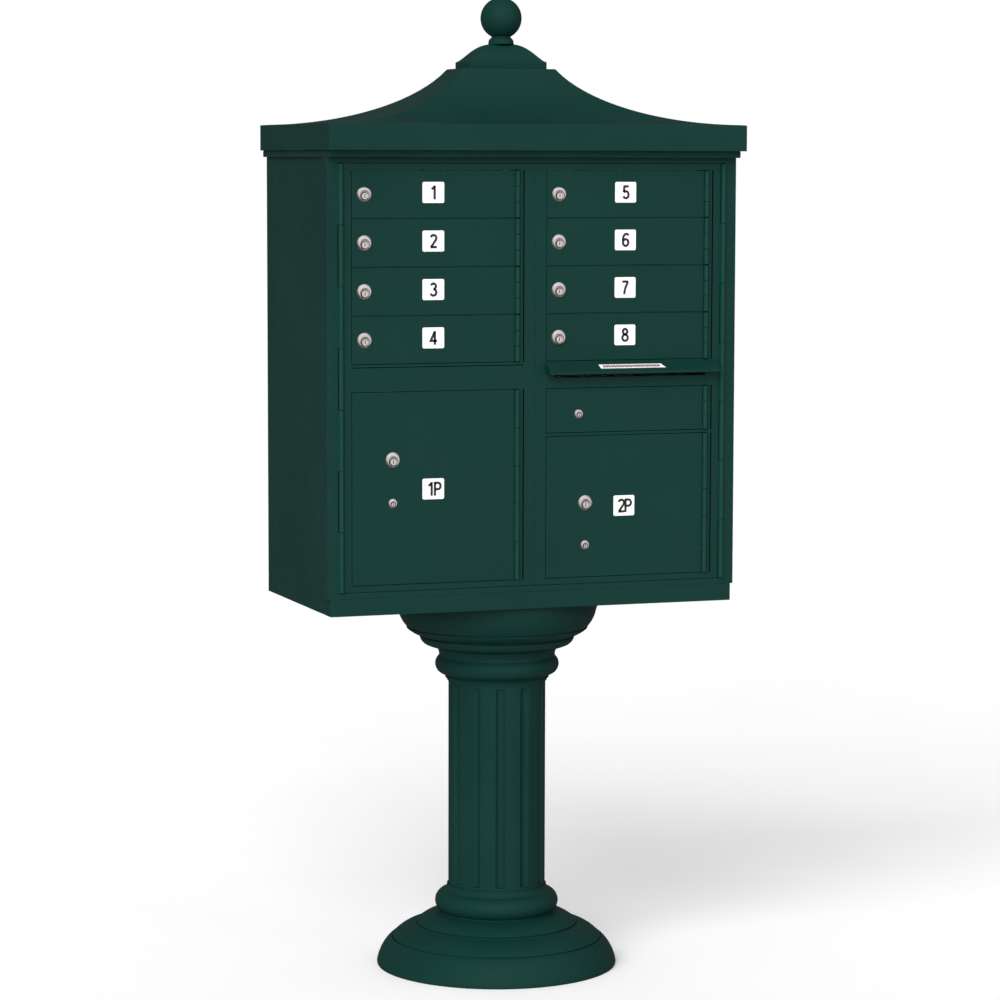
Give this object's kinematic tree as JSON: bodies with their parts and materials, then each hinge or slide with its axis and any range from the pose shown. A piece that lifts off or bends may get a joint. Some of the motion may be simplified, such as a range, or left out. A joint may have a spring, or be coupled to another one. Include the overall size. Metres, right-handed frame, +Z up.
{
  "type": "cluster mailbox unit",
  "caption": "Pedestal-mounted cluster mailbox with lockable letter doors, parcel lockers, an outgoing mail slot, swinging master doors, a concave hipped roof and a fluted column.",
  "frame": {"origin": "centre of the anchor bolt pattern on the underside of the pedestal's base plate, at floor level on the pedestal's axis", "axes": "+Z up, -Y out of the doors, +X to the right as seen from the doors' side"},
  "size_m": [0.787, 0.4582, 1.7865],
  "materials": {
    "green_paint": "semi-gloss powder coat",
    "lock_metal": "satin nickel plate",
    "bare_aluminium": "mill finish",
    "zinc_steel": "zinc plated",
    "galvanised_steel": "galvanised"
  },
  "bodies": {
    "root": {"pedestal_post": "galvanised_steel", "pedestal_bolts": "zinc_steel", "cover_base": "green_paint", "cover_shaft": "green_paint", "cover_capital": "green_paint", "base_tray": "green_paint", "side_panel_left": "green_paint", "side_panel_right": "green_paint", "back_panel": "green_paint", "front_frame": "green_paint", "cabinet_top": "green_paint", "rack_left": "bare_aluminium", "rack_right": "bare_aluminium", "roof_canopy": "green_paint", "roof_cap": "green_paint", "finial": "green_paint", "roof_fasteners": "zinc_steel", "master_hinge_pins": "zinc_steel"},
    "master_left": {"master_door_left": "green_paint", "hinge_pins_left": "zinc_steel"},
    "master_right": {"master_door_right": "green_paint", "hinge_pins_right": "zinc_steel", "outgoing_band": "green_paint", "outgoing_hood": "green_paint"},
    "latch": {"master_latch": "zinc_steel"},
    "letter_1": {"letter_door_1": "green_paint", "letter_lock_1": "lock_metal"},
    "letter_key_1": {"letter_cam_1": "lock_metal"},
    "letter_2": {"letter_door_2": "green_paint", "letter_lock_2": "lock_metal"},
    "letter_key_2": {"letter_cam_2": "lock_metal"},
    "letter_3": {"letter_door_3": "green_paint", "letter_lock_3": "lock_metal"},
    "letter_key_3": {"letter_cam_3": "lock_metal"},
    "letter_4": {"letter_door_4": "green_paint", "letter_lock_4": "lock_metal"},
    "letter_key_4": {"letter_cam_4": "lock_metal"},
    "letter_5": {"letter_door_5": "green_paint", "letter_lock_5": "lock_metal"},
    "letter_key_5": {"letter_cam_5": "lock_metal"},
    "letter_6": {"letter_door_6": "green_paint", "letter_lock_6": "lock_metal"},
    "letter_key_6": {"letter_cam_6": "lock_metal"},
    "letter_7": {"letter_door_7": "green_paint", "letter_lock_7": "lock_metal"},
    "letter_key_7": {"letter_cam_7": "lock_metal"},
    "letter_8": {"letter_door_8": "green_paint", "letter_lock_8": "lock_metal"},
    "letter_key_8": {"letter_cam_8": "lock_metal"},
    "parcel_1": {"parcel_door_1": "green_paint", "parcel_locks_1": "lock_metal"},
    "customer_key_1": {"customer_cam_1": "lock_metal"},
    "carrier_key_1": {"carrier_cam_1": "lock_metal"},
    "parcel_2": {"parcel_door_2": "green_paint", "parcel_locks_2": "lock_metal"},
    "customer_key_2": {"customer_cam_2": "lock_metal"},
    "carrier_key_2": {"carrier_cam_2": "lock_metal"},
    "outgoing": {"outgoing_door": "green_paint", "outgoing_lock": "lock_metal"},
    "outgoing_key": {"outgoing_cam": "lock_metal"}
  },
  "joints": [
    {"name": "master_left_hinge", "type": "hinge", "parent": "root", "child": "master_left", "pos_m": [-0.36225, -0.201, 1.109], "axis": [0, 0, 1], "range_deg": [-105, 0]},
    {"name": "master_right_hinge", "type": "hinge", "parent": "root", "child": "master_right", "pos_m": [0.36225, -0.201, 1.109], "axis": [0, 0, 1], "range_deg": [0, 105]},
    {"name": "master_latch_turn", "type": "hinge", "parent": "root", "child": "latch", "pos_m": [0, -0.18, 1.11], "axis": [0, -1, 0], "range_deg": [0, 90]},
    {"name": "letter_door_1_hinge", "type": "hinge", "parent": "master_left", "child": "letter_1", "pos_m": [-0.03425, -0.201, 1.43237], "axis": [0, 0, 1], "range_deg": [0, 92]},
    {"name": "letter_cam_1_turn", "type": "hinge", "parent": "letter_1", "child": "letter_key_1", "pos_m": [-0.319, -0.2, 1.42918], "axis": [0, -1, 0], "range_deg": [0, 90]},
    {"name": "letter_door_2_hinge", "type": "hinge", "parent": "master_left", "child": "letter_2", "pos_m": [-0.03425, -0.201, 1.34712], "axis": [0, 0, 1], "range_deg": [0, 92]},
    {"name": "letter_cam_2_turn", "type": "hinge", "parent": "letter_2", "child": "letter_key_2", "pos_m": [-0.319, -0.2, 1.34393], "axis": [0, -1, 0], "range_deg": [0, 90]},
    {"name": "letter_door_3_hinge", "type": "hinge", "parent": "master_left", "child": "letter_3", "pos_m": [-0.03425, -0.201, 1.26188], "axis": [0, 0, 1], "range_deg": [0, 92]},
    {"name": "letter_cam_3_turn", "type": "hinge", "parent": "letter_3", "child": "letter_key_3", "pos_m": [-0.319, -0.2, 1.25867], "axis": [0, -1, 0], "range_deg": [0, 90]},
    {"name": "letter_door_4_hinge", "type": "hinge", "parent": "master_left", "child": "letter_4", "pos_m": [-0.03425, -0.201, 1.17663], "axis": [0, 0, 1], "range_deg": [0, 92]},
    {"name": "letter_cam_4_turn", "type": "hinge", "parent": "letter_4", "child": "letter_key_4", "pos_m": [-0.319, -0.2, 1.17342], "axis": [0, -1, 0], "range_deg": [0, 90]},
    {"name": "letter_door_5_hinge", "type": "hinge", "parent": "master_right", "child": "letter_5", "pos_m": [0.3295, -0.201, 1.43237], "axis": [0, 0, 1], "range_deg": [0, 92]},
    {"name": "letter_cam_5_turn", "type": "hinge", "parent": "letter_5", "child": "letter_key_5", "pos_m": [0.04475, -0.2, 1.42918], "axis": [0, -1, 0], "range_deg": [0, 90]},
    {"name": "letter_door_6_hinge", "type": "hinge", "parent": "master_right", "child": "letter_6", "pos_m": [0.3295, -0.201, 1.34712], "axis": [0, 0, 1], "range_deg": [0, 92]},
    {"name": "letter_cam_6_turn", "type": "hinge", "parent": "letter_6", "child": "letter_key_6", "pos_m": [0.04475, -0.2, 1.34393], "axis": [0, -1, 0], "range_deg": [0, 90]},
    {"name": "letter_door_7_hinge", "type": "hinge", "parent": "master_right", "child": "letter_7", "pos_m": [0.3295, -0.201, 1.26188], "axis": [0, 0, 1], "range_deg": [0, 92]},
    {"name": "letter_cam_7_turn", "type": "hinge", "parent": "letter_7", "child": "letter_key_7", "pos_m": [0.04475, -0.2, 1.25867], "axis": [0, -1, 0], "range_deg": [0, 90]},
    {"name": "letter_door_8_hinge", "type": "hinge", "parent": "master_right", "child": "letter_8", "pos_m": [0.3295, -0.201, 1.17663], "axis": [0, 0, 1], "range_deg": [0, 92]},
    {"name": "letter_cam_8_turn", "type": "hinge", "parent": "letter_8", "child": "letter_key_8", "pos_m": [0.04475, -0.2, 1.17342], "axis": [0, -1, 0], "range_deg": [0, 90]},
    {"name": "parcel_door_1_hinge", "type": "hinge", "parent": "master_left", "child": "parcel_1", "pos_m": [-0.03425, -0.201, 0.9145], "axis": [0, 0, 1], "range_deg": [0, 92]},
    {"name": "customer_cam_1_turn", "type": "hinge", "parent": "parcel_1", "child": "customer_key_1", "pos_m": [-0.267, -0.2, 0.9618], "axis": [0, -1, 0], "range_deg": [0, 90]},
    {"name": "carrier_cam_1_turn", "type": "hinge", "parent": "parcel_1", "child": "carrier_key_1", "pos_m": [-0.267, -0.2, 0.8864], "axis": [0, -1, 0], "range_deg": [0, 90]},
    {"name": "parcel_door_2_hinge", "type": "hinge", "parent": "master_right", "child": "parcel_2", "pos_m": [0.3295, -0.201, 0.8715], "axis": [0, 0, 1], "range_deg": [0, 92]},
    {"name": "customer_cam_2_turn", "type": "hinge", "parent": "parcel_2", "child": "customer_key_2", "pos_m": [0.09675, -0.2, 0.8748], "axis": [0, -1, 0], "range_deg": [0, 90]},
    {"name": "carrier_cam_2_turn", "type": "hinge", "parent": "parcel_2", "child": "carrier_key_2", "pos_m": [0.09675, -0.2, 0.7999], "axis": [0, -1, 0], "range_deg": [0, 90]},
    {"name": "outgoing_door_hinge", "type": "hinge", "parent": "master_right", "child": "outgoing", "pos_m": [0.3295, -0.201, 1.0455], "axis": [0, 0, 1], "range_deg": [0, 92]},
    {"name": "outgoing_cam_turn", "type": "hinge", "parent": "outgoing", "child": "outgoing_key", "pos_m": [0.08375, -0.2, 1.0374], "axis": [0, -1, 0], "range_deg": [0, 90]}
  ]
}
